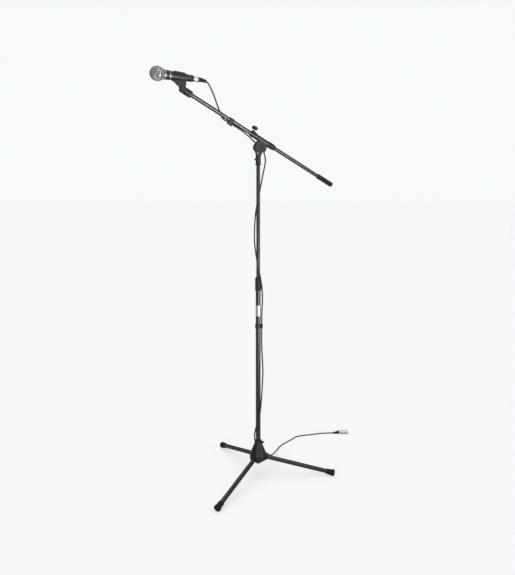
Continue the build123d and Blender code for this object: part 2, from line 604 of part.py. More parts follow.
def cord(name, points):
    """A length of round cord: straight runs joined by arcs as large as the runs allow."""
    radii = []
    for before, here, after in zip(points, points[1:], points[2:]):
        turn = (here - before).get_angle(after - here)
        shorter = min((here - before).length, (after - here).length)
        radii.append(0.45 * shorter / tan(radians(turn / 2)))
    path = FilletPolyline(*points, radius=radii)
    start = Plane(origin=points[0], z_dir=points[1] - points[0])
    solid = sweep(start * Circle(CORD_RADIUS), path=path)
    expected = pi * CORD_RADIUS ** 2 * path.length
    print(f"{name}: length {path.length:.0f}, radii {[round(r) for r in radii]}, "
          f"volume ratio {solid.volume / expected:.4f}")
    keep(name, solid)
    return path.length


def lead_route():
    """Corners of the lead's route, stretch by stretch; neighbours meet halfway along a straight run."""
    boot_end = Vector(-BOOT_DROP, 0, BOOT_END)
    boot_way = Vector(-sin(radians(BOOT_TURN)), 0, cos(radians(BOOT_TURN)))
    plug_run = 26.0
    lying = CORD_RADIUS + 0.2
    route = {
        "cord_mic": [
            MIC_AXIS.from_local_coords(boot_end), MIC_AXIS.from_local_coords(boot_end + boot_way * 12),
            boom_point(283, 67, 4), boom_point(265, 57, 7.5), boom_point(246.5, 43.5, 10.8),
            boom_point(229, 29, 12.8), boom_point(211, 15, 13.4), boom_point(198.5, 2.5, 12.9),
            boom_point(188.5, -7.5, 10.2), boom_point(179, -12, 4), boom_point(167, -BOOM_CORD_DROP, 0),
        ],
        "cord_boom": [
            boom_point(135, -BOOM_CORD_DROP, 0), boom_point(110, -11.3, -0.6), boom_point(86, -11.7, 0),
            boom_point(65, -13.8, 0.6), boom_point(46, -16.4, 2.6),
        ],
        "cord_pivot": [
            boom_point(28, -17.6, 7), boom_point(10, -19.6, 11.2), Vector(-1.5, 31.5, 1479), Vector(11.5, 39.5, 1465.5),
            Vector(21.5, 42.5, 1455), Vector(28, 38, 1438),
        ],
        "cord_swivel": [
            Vector(31, 29.5, 1418), Vector(28.5, 21.5, 1397), Vector(23.5, 16, 1374), Vector(18, 12, 1348),
        ],
        "cord_upper": [
            Vector(11.5, 9.5, 1314), Vector(2.5, 14, 1266), Vector(-9.5, 10, 1212),
            Vector(-15, 1, 1150), Vector(-17, -3.5, 1092), Vector(-12.5, -10, 1040), Vector(-4, -15, 985),
            Vector(8.5, -17.5, 930), Vector(17.5, -9, 872), Vector(18.8, -1, 815), Vector(16, -5, 764),
            Vector(*POLE_CORD, POLE_CLIP_Z + 21),
        ],
        "cord_lower": [
            Vector(*POLE_CORD, POLE_CLIP_Z - 21), Vector(15, -1, 648), Vector(15.8, 2, 600),
            Vector(19, 1, 545), Vector(21.5, -1, 487), Vector(18, -2, 428), Vector(14.5, -7.5, 368),
            Vector(9.5, -14, 312), Vector(-3, -17, 262), Vector(-15, -9.5, 220), Vector(-17, 11.6, 184),
        ],
        "cord_floor": [
            Vector(-13.2, 27.4, 144), Vector(2, 41.5, 121), Vector(20, 48, 102), Vector(37, 57, 84),
            Vector(51, 76, 66), Vector(61, 105, 48), Vector(69, 145, 34), Vector(79, 187, 21),
            Vector(94, 246, 8), Vector(110, 296, lying), Vector(128, 328, lying), Vector(156, 358, lying),
            Vector(185, 395, lying), Vector(206, 420, lying), Vector(236, 433, lying),
            Vector(276, 440, lying), Vector(325, 457, lying), PLUG_END - direction(PLUG_AZIMUTH) * plug_run,
            PLUG_END,
        ],
    }
    names = list(route)
    for name, following in zip(names, names[1:]):
        meeting = (route[name][-1] + route[following][0]) / 2
        route[name].append(meeting)
        route[following].insert(0, meeting)
    return route


def make_cords():
    """The lead from the microphone, under the boom, round the pole and out over the floor."""
    total = sum(cord(name, points) for name, points in lead_route().items())
    print(f"lead without its connectors: {total:.0f}")


def make_plug():
    """The plug on the lead's far end, lying on the floor: strain relief, shell and pins."""
    frame = Plane(origin=PLUG_END, x_dir=(0, 0, 1), z_dir=direction(PLUG_AZIMUTH))
    shell_radius = 9.5
    lift = shell_radius - PLUG_END.Z
    shell_start = 34.0
    shell_end = 82.0
    sections = [
        Circle(4.2),
        Pos(lift * 0.6, 0, 18) * Circle(6.6),
        Pos(lift, 0, shell_start) * Circle(8.6),
    ]
    boot = loft(sections)
    floor_cut = block((-50, 150), (-50, 50), (-60, 0))
    keep("plug_boot", frame * boot - Pos(PLUG_END.X, PLUG_END.Y, 0) * Rot(0, 0, PLUG_AZIMUTH) * floor_cut)
    shell = turned(
        (0, shell_start), (8.8, shell_start), (shell_radius, shell_start + 1), (shell_radius, shell_end),
        (8.3, shell_end), (8.3, 62), (0, 62),
    )
    keep("plug_shell", frame * (Pos(lift, 0, 0) * shell))
    insert = rod(8.3, 62, 66)
    for turn in (-60, 0, 60):
        insert += Rot(0, 0, turn) * (Pos(4.2, 0, 0) * rod(1.2, 66, 79))
    keep("plug_pins", frame * (Pos(lift, 0, 0) * insert))


def main():
    make_hub()
    make_hub_fittings()
    for name, azimuth in LEG_AZIMUTHS.items():
        make_leg(name, azimuth)
    make_lower_pole()
    make_height_clutch()
    make_upper_pole()
    make_pole_clip()
    make_swivel_head()
    make_pivot_hardware()
    make_boom_clamp()
    make_clamp_knob()
    make_boom()
    make_clip_base()
    make_clip_cradle()
    make_microphone()
    make_lead_socket()
    make_cords()
    make_plug()
    os.makedirs("parts", exist_ok=True)
    for name, shape in PARTS.items():
        export_step(shape, f"parts/{name}.step")


main()
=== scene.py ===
"""Looks for the boom microphone stand: camera, light, lead, detailed pieces and materials.

Lengths in the shape functions are in millimetres and are brought to metres by MM.
"""
import json
from math import asin, atan, cos, hypot, pi, radians, sin, sqrt

import bmesh
import bpy
from mathutils import Matrix, Vector

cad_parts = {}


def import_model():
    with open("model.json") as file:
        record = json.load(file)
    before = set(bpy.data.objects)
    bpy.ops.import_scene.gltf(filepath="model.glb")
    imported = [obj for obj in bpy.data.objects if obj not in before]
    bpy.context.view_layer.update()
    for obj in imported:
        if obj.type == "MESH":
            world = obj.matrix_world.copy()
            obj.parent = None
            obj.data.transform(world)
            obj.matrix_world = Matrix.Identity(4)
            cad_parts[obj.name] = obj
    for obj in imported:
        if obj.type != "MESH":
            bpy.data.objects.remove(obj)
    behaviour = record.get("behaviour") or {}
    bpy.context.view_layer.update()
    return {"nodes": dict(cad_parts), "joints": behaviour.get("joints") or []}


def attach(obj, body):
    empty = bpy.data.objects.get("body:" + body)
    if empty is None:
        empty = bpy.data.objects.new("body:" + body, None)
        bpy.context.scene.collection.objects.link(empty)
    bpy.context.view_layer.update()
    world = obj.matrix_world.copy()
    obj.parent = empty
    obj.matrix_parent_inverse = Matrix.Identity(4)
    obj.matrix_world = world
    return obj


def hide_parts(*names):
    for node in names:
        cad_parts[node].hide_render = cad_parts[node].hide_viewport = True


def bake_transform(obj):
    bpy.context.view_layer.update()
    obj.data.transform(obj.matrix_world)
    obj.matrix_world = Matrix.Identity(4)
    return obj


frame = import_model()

MM = 0.001
UP = Vector((0, 0, 1))


# ---------------------------------------------------------------- frame
JOINTS = {joint["name"]: joint for joint in frame["joints"]}


def joint_at(name):
    return Vector(JOINTS[name]["pos_m"])


def joint_way(name):
    return Vector(JOINTS[name]["axis"]).normalized()


PIVOT = joint_at("boom tilt")
NEAR = joint_way("boom tilt")
FAR = -NEAR
BOOM_DIR = joint_way("boom slide")
BOOM_UP = joint_way("boom knob turn")
BOOM_ORIGIN = joint_at("collar turn")
KNUCKLE = joint_at("microphone tilt")
MIC_ELEVATION = radians(2.5)
MIC_LEAD = 108.7
MIC_HEIGHT = 46.6
BOOM_FLAT = Vector((BOOM_DIR.x, BOOM_DIR.y, 0)).normalized()
MIC_DIR = BOOM_FLAT * cos(MIC_ELEVATION) + UP * sin(MIC_ELEVATION)
MIC_UP = FAR.cross(MIC_DIR)
BALL = KNUCKLE + (MIC_DIR * MIC_LEAD + MIC_UP * MIC_HEIGHT) * MM


def place(origin, z, x):
    """A matrix with its z and x along those directions, for shapes in millimetres."""
    z = Vector(z).normalized()
    x = Vector(x)
    x = (x - z * x.dot(z)).normalized()
    turn = Matrix((x, z.cross(x), z)).transposed().to_4x4()
    return Matrix.Translation(Vector(origin)) @ turn @ Matrix.Scale(MM, 4)


POLE = place((0, 0, 0), UP, (1, 0, 0))
BOOM_AXIS = place(BOOM_ORIGIN, BOOM_DIR, BOOM_UP)
TILT = place(PIVOT, FAR, BOOM_DIR)
MIC_AXIS = place(BALL, -MIC_DIR, MIC_UP)


# ---------------------------------------------------------------- camera
def make_camera():
    data = bpy.data.cameras.new("camera")
    data.sensor_fit = "AUTO"
    data.lens = 36.44
    camera = bpy.data.objects.new("camera", data)
    bpy.context.collection.objects.link(camera)
    camera.location = (-0.003, -2.488, 1.301)
    camera.rotation_euler = (radians(90 - 9.7), 0, 0)
    data.clip_end = 100
    bpy.context.scene.camera = camera


make_camera()


# ---------------------------------------------------------------- materials
def new_material(name):
    material = bpy.data.materials.new(name)
    material.use_nodes = True
    tree = material.node_tree
    return material, tree, tree.nodes["Principled BSDF"]


def coordinates(tree, stretch=(1, 1, 1)):
    """The piece's own coordinates in metres, scaled along each axis."""
    source = tree.nodes.new("ShaderNodeTexCoord")
    mapping = tree.nodes.new("ShaderNodeMapping")
    mapping.inputs["Scale"].default_value = stretch
    tree.links.new(source.outputs["Object"], mapping.inputs["Vector"])
    return mapping.outputs["Vector"]


def noise(tree, scale, detail=3.0, stretch=(1, 1, 1)):
    node = tree.nodes.new("ShaderNodeTexNoise")
    node.inputs["Scale"].default_value = scale
    node.inputs["Detail"].default_value = detail
    tree.links.new(coordinates(tree, stretch), node.inputs["Vector"])
    return node.outputs["Fac"]


def ramp(tree, source, *stops):
    """A colour or value ramp from (position, grey or colour) stops."""
    node = tree.nodes.new("ShaderNodeValToRGB")
    elements = node.color_ramp.elements
    while len(elements) < len(stops):
        elements.new(0.5)
    for element, (position, value) in zip(elements, stops):
        element.position = position
        element.color = (value, value, value, 1) if isinstance(value, float) else (*value, 1)
    tree.links.new(source, node.inputs["Fac"])
    return node.outputs["Color"]


def blend_colours(tree, amount, first, second):
    node = tree.nodes.new("ShaderNodeMix")
    node.data_type = "RGBA"
    tree.links.new(amount, node.inputs["Factor"])
    for socket, value in ((node.inputs[6], first), (node.inputs[7], second)):
        if isinstance(value, tuple):
            socket.default_value = (*value, 1)
        else:
            tree.links.new(value, socket)
    return node.outputs[2]


def bump(tree, shader, height, strength, distance):
    node = tree.nodes.new("ShaderNodeBump")
    node.inputs["Strength"].default_value = strength
    node.inputs["Distance"].default_value = distance
    tree.links.new(height, node.inputs["Height"])
    tree.links.new(node.outputs["Normal"], shader.inputs["Normal"])


def edge_wear(tree, low, high):
    """1 on worn convex edges and 0 elsewhere, broken up by noise."""
    geometry = tree.nodes.new("ShaderNodeNewGeometry")
    edges = ramp(tree, geometry.outputs["Pointiness"], (low, 0.0), (high, 1.0))
    patches = ramp(tree, noise(tree, 220, 4), (0.45, 0.0), (0.62, 1.0))
    node = tree.nodes.new("ShaderNodeMath")
    node.operation = "MULTIPLY"
    tree.links.new(edges, node.inputs[0])
    tree.links.new(patches, node.inputs[1])
    return node.outputs[0]


def powder_coat(name, dark, light, grain=1500, rough=(0.34, 0.5), strength=0.16):
    """Satin black coating: a fine orange peel, faint clouding and rubbed edges."""
    material, tree, shader = new_material(name)
    clouds = blend_colours(tree, noise(tree, 38, 4), dark, light)
    worn = tuple(min(1, c * 2.6 + 0.02) for c in light)
    colour = blend_colours(tree, edge_wear(tree, 0.53, 0.62), clouds, worn)
    tree.links.new(colour, shader.inputs["Base Color"])
    dullness = ramp(tree, noise(tree, 120, 3), (0.3, rough[0]), (0.7, rough[1]))
    tree.links.new(dullness, shader.inputs["Roughness"])
    shader.inputs["Specular IOR Level"].default_value = 0.55
    bump(tree, shader, noise(tree, grain, 2), strength, 0.0002)
    return material


def painted_tube(name, dark, light):
    """Glossier black paint on drawn tube: long faint draw lines and a few rub marks."""
    material, tree, shader = new_material(name)
    clouds = blend_colours(tree, noise(tree, 30, 3), dark, light)
    rubs = ramp(tree, noise(tree, 90, 6, (1, 1, 0.25)), (0.66, 0.0), (0.74, 1.0))
    rubbed = tuple(c * 1.9 for c in light)
    tree.links.new(blend_colours(tree, rubs, clouds, rubbed), shader.inputs["Base Color"])
    tree.links.new(ramp(tree, noise(tree, 160, 3), (0.3, 0.24), (0.7, 0.34)), shader.inputs["Roughness"])
    shader.inputs["Specular IOR Level"].default_value = 0.9
    bump(tree, shader, noise(tree, 420, 2, (1, 1, 0.12)), 0.1, 0.0002)
    return material


def moulded_plastic(name, dark, light, grain=2200, rough=(0.42, 0.58)):
    """Spark-eroded moulded plastic: a fine even grain with slight sheen changes."""
    material, tree, shader = new_material(name)
    clouds = blend_colours(tree, noise(tree, 55, 4), dark, light)
    worn = tuple(c * 2.0 + 0.01 for c in light)
    colour = blend_colours(tree, edge_wear(tree, 0.54, 0.66), clouds, worn)
    tree.links.new(colour, shader.inputs["Base Color"])
    dullness = ramp(tree, noise(tree, 200, 3), (0.3, rough[0]), (0.7, rough[1]))
    tree.links.new(dullness, shader.inputs["Roughness"])
    cells = tree.nodes.new("ShaderNodeTexVoronoi")
    cells.inputs["Scale"].default_value = grain
    tree.links.new(coordinates(tree), cells.inputs["Vector"])
    bump(tree, shader, cells.outputs["Distance"], 0.22, 0.00012)
    return material


def rubber(name, dark, light, rough=(0.6, 0.8)):
    """Matt rubber with dust in its texture."""
    material, tree, shader = new_material(name)
    clouds = blend_colours(tree, noise(tree, 70, 5), dark, light)
    dust = ramp(tree, noise(tree, 260, 6), (0.56, 0.0), (0.78, 0.55))
    dusty = tuple(c * 2.2 + 0.015 for c in light)
    tree.links.new(blend_colours(tree, dust, clouds, dusty), shader.inputs["Base Color"])
    dullness = ramp(tree, noise(tree, 140, 3), (0.3, rough[0]), (0.7, rough[1]))
    tree.links.new(dullness, shader.inputs["Roughness"])
    shader.inputs["Specular IOR Level"].default_value = 0.35
    bump(tree, shader, noise(tree, 1300, 3), 0.25, 0.00015)
    return material


def plated_metal(name, dark, light, rough=(0.2, 0.36), stretch=(1, 1, 1), grain=900):
    """Plated or brushed metal: fine lines, soft stains and varying polish."""
    material, tree, shader = new_material(name)
    tree.links.new(blend_colours(tree, noise(tree, 85, 5), dark, light), shader.inputs["Base Color"])
    shader.inputs["Metallic"].default_value = 1.0
    lines = noise(tree, grain, 3, stretch)
    tree.links.new(ramp(tree, lines, (0.3, rough[0]), (0.7, rough[1])), shader.inputs["Roughness"])
    bump(tree, shader, lines, 0.12, 0.00008)
    return material


def foam(name, dark, light):
    """Open-cell foam behind the grille."""
    material, tree, shader = new_material(name)
    cells = tree.nodes.new("ShaderNodeTexVoronoi")
    cells.inputs["Scale"].default_value = 1400
    tree.links.new(coordinates(tree), cells.inputs["Vector"])
    tree.links.new(blend_colours(tree, cells.outputs["Distance"], dark, light), shader.inputs["Base Color"])
    shader.inputs["Roughness"].default_value = 0.95
    bump(tree, shader, cells.outputs["Distance"], 0.8, 0.0005)
    return material


CAST = powder_coat("cast_black", (0.010, 0.0105, 0.0115), (0.019, 0.0195, 0.021), 1500, (0.3, 0.42))
TUBE = painted_tube("tube_black", (0.009, 0.0095, 0.0105), (0.016, 0.0165, 0.018))
PLASTIC = moulded_plastic("plastic_black", (0.009, 0.009, 0.01), (0.016, 0.016, 0.018))
CLIP = moulded_plastic("clip_black", (0.009, 0.009, 0.01), (0.016, 0.016, 0.017), 1500, (0.28, 0.42))
RUBBER = rubber("rubber_black", (0.009, 0.009, 0.009), (0.017, 0.017, 0.018))
JACKET = rubber("lead_jacket", (0.035, 0.035, 0.037), (0.06, 0.06, 0.063), (0.42, 0.58))
STEEL = plated_metal("zinc_steel", (0.42, 0.42, 0.43), (0.62, 0.62, 0.62), (0.25, 0.42))
BLACK_STEEL = plated_metal("black_steel", (0.035, 0.035, 0.038), (0.07, 0.07, 0.075), (0.25, 0.4))
NICKEL = plated_metal("nickel", (0.72, 0.71, 0.7), (0.86, 0.85, 0.84), (0.26, 0.38), (1, 1, 1), 1200)
DULL_NICKEL = plated_metal(
    "dull_nickel", (0.34, 0.34, 0.34), (0.48, 0.48, 0.47), (0.3, 0.42), (1, 1, 1), 1200
)
WIRE = plated_metal("grille_wire", (0.4, 0.4, 0.4), (0.56, 0.56, 0.55), (0.5, 0.62), (1, 1, 1), 2500)
LABEL = plated_metal("label_foil", (0.72, 0.72, 0.73), (0.84, 0.84, 0.85), (0.3, 0.45), (40, 40, 1), 60)
ENAMEL = powder_coat("mic_enamel", (0.011, 0.0115, 0.013), (0.02, 0.021, 0.023), 2600, (0.26, 0.34), 0.12)
FOAM = foam("grille_foam", (0.05, 0.05, 0.051), (0.13, 0.13, 0.13))


# ---------------------------------------------------------------- pieces
def finish_mesh(mesh, sharp=35):
    for polygon in mesh.polygons:
        polygon.use_smooth = True
    mesh.set_sharp_from_angle(angle=radians(sharp))


def piece(name, bm, material, body, slot, *nodes, sharp=35, bevel=0.0):
    """A finished piece from a bmesh in the row frame, riding on its body in place of its nodes."""
    bmesh.ops.remove_doubles(bm, verts=bm.verts, dist=0.000001)
    bmesh.ops.recalc_face_normals(bm, faces=bm.faces)
    mesh = bpy.data.meshes.new(name)
    bm.to_mesh(mesh)
    bm.free()
    finish_mesh(mesh, sharp)
    mesh.materials.append(material)
    obj = bpy.data.objects.new(name, mesh)
    bpy.context.collection.objects.link(obj)
    if bevel:
        soften(obj, bevel, sharp)
    if body:
        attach(obj, body)
    if nodes:
        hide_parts(*nodes)
    return obj


def soften(obj, width, angle=35):
    modifier = obj.modifiers.new("edges", "BEVEL")
    modifier.width = width * MM
    modifier.segments = 2
    modifier.limit_method = "ANGLE"
    modifier.angle_limit = radians(angle)
    modifier.harden_normals = True


def add_lathe(bm, where, profile, segments=72, shape=None, closed=True):
    """Turns (radius, height) points round z. shape(radius, height, angle) may change a radius."""
    rings = []
    for radius, height in profile:
        ring = []
        if radius < 1e-6:
            ring = [bm.verts.new(where @ Vector((0, 0, height)))] * segments
        else:
            for n in range(segments):
                angle = 2 * pi * n / segments
                r = shape(radius, height, angle) if shape else radius
                ring.append(bm.verts.new(where @ Vector((r * cos(angle), r * sin(angle), height))))
        rings.append(ring)
    pairs = list(zip(rings, rings[1:]))
    if closed:
        pairs.append((rings[-1], rings[0]))
    for first, second in pairs:
        for n in range(segments):
            m = (n + 1) % segments
            corners = [first[n], first[m], second[m], second[n]]
            corners = [c for k, c in enumerate(corners) if c not in corners[:k]]
            if len(corners) > 2:
                bm.faces.new(corners)


def lathe(name, where, profile, material, body, slot, *nodes, segments=72, shape=None, closed=True,
          sharp=35, bevel=0.0):
    bm = bmesh.new()
    add_lathe(bm, where, profile, segments, shape, closed)
    return piece(name, bm, material, body, slot, *nodes, sharp=sharp, bevel=bevel)


def keep_cad(material, *names, bevel=0.0):
    """CAD nodes whose shape is right get their material, smooth faces and softened edges."""
    for name in names:
        obj = frame["nodes"][name]
        finish_mesh(obj.data)
        obj.data.materials.clear()
        obj.data.materials.append(material)
        if bevel:
            soften(obj, bevel, 32)


# ---------------------------------------------------------------- lead
CORD_RADIUS = 3.0
BOOT_END = 203.5
BOOT_DROP = 3.6
BOOT_TURN = radians(24)


def boom_point(x, y, z):
    """Along the boom, square up from it and to its far side, in millimetres."""
    return BOOM_ORIGIN + (BOOM_DIR * x + BOOM_UP * y + FAR * z) * MM


def world(x, y, z):
    return Vector((x, y, z)) * MM


def lead_route():
    """Corners of the lead's route, stretch by stretch; neighbours meet halfway along a straight run."""
    boot_end = MIC_AXIS @ Vector((-BOOT_DROP, 0, BOOT_END))
    boot_way = -MIC_UP * sin(BOOT_TURN) - MIC_DIR * cos(BOOT_TURN)
    lying = CORD_RADIUS + 0.2
    route = {
        "cord_mic": [
            boot_end, boot_end + boot_way * 12 * MM,
            boom_point(283, 67, 4), boom_point(265, 57, 7.5), boom_point(246.5, 43.5, 10.8),
            boom_point(229, 29, 12.8), boom_point(211, 15, 13.4), boom_point(198.5, 2.5, 12.9),
            boom_point(188.5, -7.5, 10.2), boom_point(179, -12, 4), boom_point(167, -11.5, 0),
        ],
        "cord_boom": [
            boom_point(135, -11.5, 0), boom_point(110, -11.3, -0.6), boom_point(86, -11.7, 0),
            boom_point(65, -13.8, 0.6), boom_point(46, -16.4, 2.6),
        ],
        "cord_pivot": [
            boom_point(28, -17.6, 7), boom_point(10, -19.6, 11.2), world(-1.5, 31.5, 1479),
            world(11.5, 39.5, 1465.5), world(21.5, 42.5, 1455), world(28, 38, 1438),
        ],
        "cord_swivel": [
            world(31, 29.5, 1418), world(28.5, 21.5, 1397), world(23.5, 16, 1374), world(18, 12, 1348),
        ],
        "cord_upper": [
            world(11.5, 9.5, 1314), world(2.5, 14, 1266), world(-9.5, 10, 1212),
            world(-15, 1, 1150), world(-17, -3.5, 1092), world(-12.5, -10, 1040), world(-4, -15, 985),
            world(8.5, -17.5, 930), world(17.5, -9, 872), world(18.8, -1, 815), world(16, -5, 764),
            world(15.2, -3, 725.5),
        ],
        "cord_lower": [
            world(15.2, -3, 683.5), world(15, -1, 648), world(15.8, 2, 600), world(19, 1, 545),
            world(21.5, -1, 487), world(18, -2, 428), world(14.5, -7.5, 368), world(9.5, -14, 312),
            world(-3, -17, 262), world(-15, -9.5, 220), world(-17, 11.6, 184),
        ],
        "cord_floor": [
            world(-13.2, 27.4, 144), world(2, 41.5, 121), world(20, 48, 102), world(37, 57, 84),
            world(51, 76, 66), world(61, 105, 48), world(69, 145, 34), world(79, 187, 21),
            world(94, 246, 8), world(110, 296, lying), world(128, 328, lying), world(156, 358, lying),
            world(185, 395, lying), world(206, 420, lying), world(236, 433, lying),
            world(276, 440, lying), world(325, 457, lying), world(374, 462, 4.4), world(400, 462, 4.4),
        ],
    }
    names = list(route)
    for name, following in zip(names, names[1:]):
        meeting = (route[name][-1] + route[following][0]) / 2
        route[name].append(meeting)
        route[following].insert(0, meeting)
    return route


def nurbs_mesh(name, points, radius):
    """The mesh of a smooth NURBS spline with these control points, as a line or as a round tube."""
    curve = bpy.data.curves.new(name, "CURVE")
    curve.dimensions = "3D"
    curve.bevel_depth = radius
    curve.bevel_resolution = 6
    curve.use_fill_caps = True
    spline = curve.splines.new("NURBS")
    spline.points.add(len(points) - 1)
    for knot, point in zip(spline.points, points):
        knot.co = (*point, 1)
    spline.order_u = 3
    spline.use_endpoint_u = True
    spline.resolution_u = 8
    obj = bpy.data.objects.new(name, curve)
    bpy.context.collection.objects.link(obj)
    bpy.context.view_layer.update()
    mesh = bpy.data.meshes.new_from_object(obj.evaluated_get(bpy.context.evaluated_depsgraph_get()))
    bpy.data.objects.remove(obj)
    bpy.data.curves.remove(curve)
    return mesh


CORD_BODIES = {
    "cord_mic": ("microphone", "boom"),
    "cord_boom": ("boom", "clamp"),
    "cord_pivot": ("clamp", "head"),
    "cord_swivel": ("head", "upper pole"),
    "cord_upper": ("upper pole", "pole"),
    "cord_lower": ("pole", "tripod"),
    "cord_floor": ("tripod", None),
}


def make_lead():
    for name, points in lead_route().items():
        line = nurbs_mesh(name + "_line", points, 0)
        tube = nurbs_mesh(name + "_tube", points, CORD_RADIUS * MM)
        tube.materials.clear()
        tube.materials.append(JACKET)
        finish_mesh(tube, 60)
        obj = bpy.data.objects.new("lead_" + name.split("_")[1], tube)
        bpy.context.collection.objects.link(obj)
        first, second = CORD_BODIES[name]
        if second:
            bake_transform(obj)
        else:
            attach(obj, first)
        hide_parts(name)


make_lead()


# ---------------------------------------------------------------- shapes that pieces share
def fluted(count, depth, half_width, above, low=-1e9, high=1e9):
    """A shape for lathe: rounded flutes, all round, where the radius and height are in range."""
    def shape(radius, height, angle):
        if radius < above or not low <= height <= high:
            return radius
        phase = (angle * count / (2 * pi)) % 1 - 0.5
        return radius - depth * max(0, 1 - (phase / half_width) ** 2)
    return shape


def hexagonal(within):
    """A shape for lathe: radii below the limit become a hexagon, as in a socket screw."""
    def shape(radius, height, angle):
        if radius > within:
            return radius
        sector = pi / 3
        return radius / cos((angle + sector / 2) % sector - sector / 2)
    return shape


def add_wire(bm, where, points, normals, radius, closed=False, sides=5):
    """A thin round wire through points of a surface whose normals are given."""
    rings = []
    count = len(points)
    for n, (point, normal) in enumerate(zip(points, normals)):
        before = points[n - 1] if closed or n else point
        after = points[(n + 1) % count] if closed or n < count - 1 else point
        side = (after - before).cross(normal).normalized()
        ring = []
        for k in range(sides):
            a = 2 * pi * k / sides
            ring.append(bm.verts.new(where @ (point + (normal * cos(a) + side * sin(a)) * radius)))
        rings.append(ring)
    pairs = list(zip(rings, rings[1:]))
    if closed:
        pairs.append((rings[-1], rings[0]))
    else:
        bm.faces.new(rings[0])
        bm.faces.new(rings[-1])
    for first, second in pairs:
        for k in range(sides):
            m = (k + 1) % sides
            bm.faces.new([first[k], first[m], second[m], second[k]])


# ---------------------------------------------------------------- microphone
BALL_RADIUS = 27.0
WIRE_RADIUS = 0.38
WEAVE = 0.3            # how far the wires pass over and under each other
MESH_PITCH = 1.6
BAND = (2.5, 7.0)
NECK = 28.0
TAIL = 148.0
SOCKET_END = 168.0


def mic_radius(x):
    return 17.2 - (x - 52) * 0.052


def make_front_grille():
    """A square weave of wire drawn over the front of the ball."""
    bm = bmesh.new()
    radius = BALL_RADIUS - WIRE_RADIUS - WEAVE
    widest = BALL_RADIUS * (pi / 2 + asin((BAND[0] - 0.4) / BALL_RADIUS))
    half = int(widest / MESH_PITCH)
    for family in (0, 1):
        for row in range(-half, half + 1):
            u = row * MESH_PITCH
            reach = int(sqrt(widest ** 2 - u ** 2) / MESH_PITCH)
            if reach < 1:
                continue
            points = []
            normals = []
            for step in range(-reach, reach + 1):
                v = step * MESH_PITCH
                x, y = (u, v) if family else (v, u)
                out = hypot(x, y)
                polar = out / BALL_RADIUS
                scale = sin(polar) / out if out else 0
                normal = Vector((x * scale, y * scale, -cos(polar)))
                over = 1 if (row + step + family) % 2 else -1
                normals.append(normal)
                points.append(normal * (radius + over * WEAVE))
            add_wire(bm, MIC_AXIS, points, normals, WIRE_RADIUS)
    piece("grille_front", bm, WIRE, "microphone", "mesh", "mic_grille_front", sharp=60)


def back_profile(t):
    """Radius, height and outward normal of the rear grille, from its band to its neck."""
    first = Vector((26.4, BAND[1]))
    middle = Vector((25.6, 17.2))
    last = Vector((18.2, NECK))
    point = first * (1 - t) ** 2 + middle * 2 * t * (1 - t) + last * t ** 2
    way = (middle - first) * (1 - t) + (last - middle) * t
    normal = Vector((way.y, -way.x)).normalized()
    return point, normal


def make_back_grille():
    """The rear grille: wires along the ball crossed by hoops."""
    bm = bmesh.new()
    around = 76
    hoops = 13

    def at(step, n, over):
        point, normal = back_profile(step / hoops)
        a = 2 * pi * n / around
        point = point - normal * (WIRE_RADIUS + WEAVE * (1 - over))
        return (Vector((point.x * cos(a), point.x * sin(a), point.y)),
                Vector((normal.x * cos(a), normal.x * sin(a), normal.y)))

    for n in range(around):
        line = [at(step, n, 1 if (step + n) % 2 else -1) for step in range(hoops + 1)]
        add_wire(bm, MIC_AXIS, [p for p, _ in line], [m for _, m in line], WIRE_RADIUS)
    for step in range(1, hoops):
        line = [at(step, n, -1 if (step + n) % 2 else 1) for n in range(around)]
        add_wire(bm, MIC_AXIS, [p for p, _ in line], [m for _, m in line], WIRE_RADIUS, closed=True)
    piece("grille_back", bm, WIRE, "microphone", "mesh", "mic_grille_back", sharp=60)


def make_foam():
    """The foam lining that shows between the wires."""
    inner = BALL_RADIUS - 1.9
    steps = 14
    profile = [(inner * sin(pi / 2 * n / steps), -inner * cos(pi / 2 * n / steps)) for n in range(steps + 1)]
    for n in range(7):
        point, normal = back_profile(n / 6)
        profile.append((point.x - normal.x * 1.7, point.y - normal.y * 1.7))
    profile.append((0, NECK))
    lathe("grille_foam", MIC_AXIS, profile, FOAM, "microphone", "foam", segments=64, closed=False)


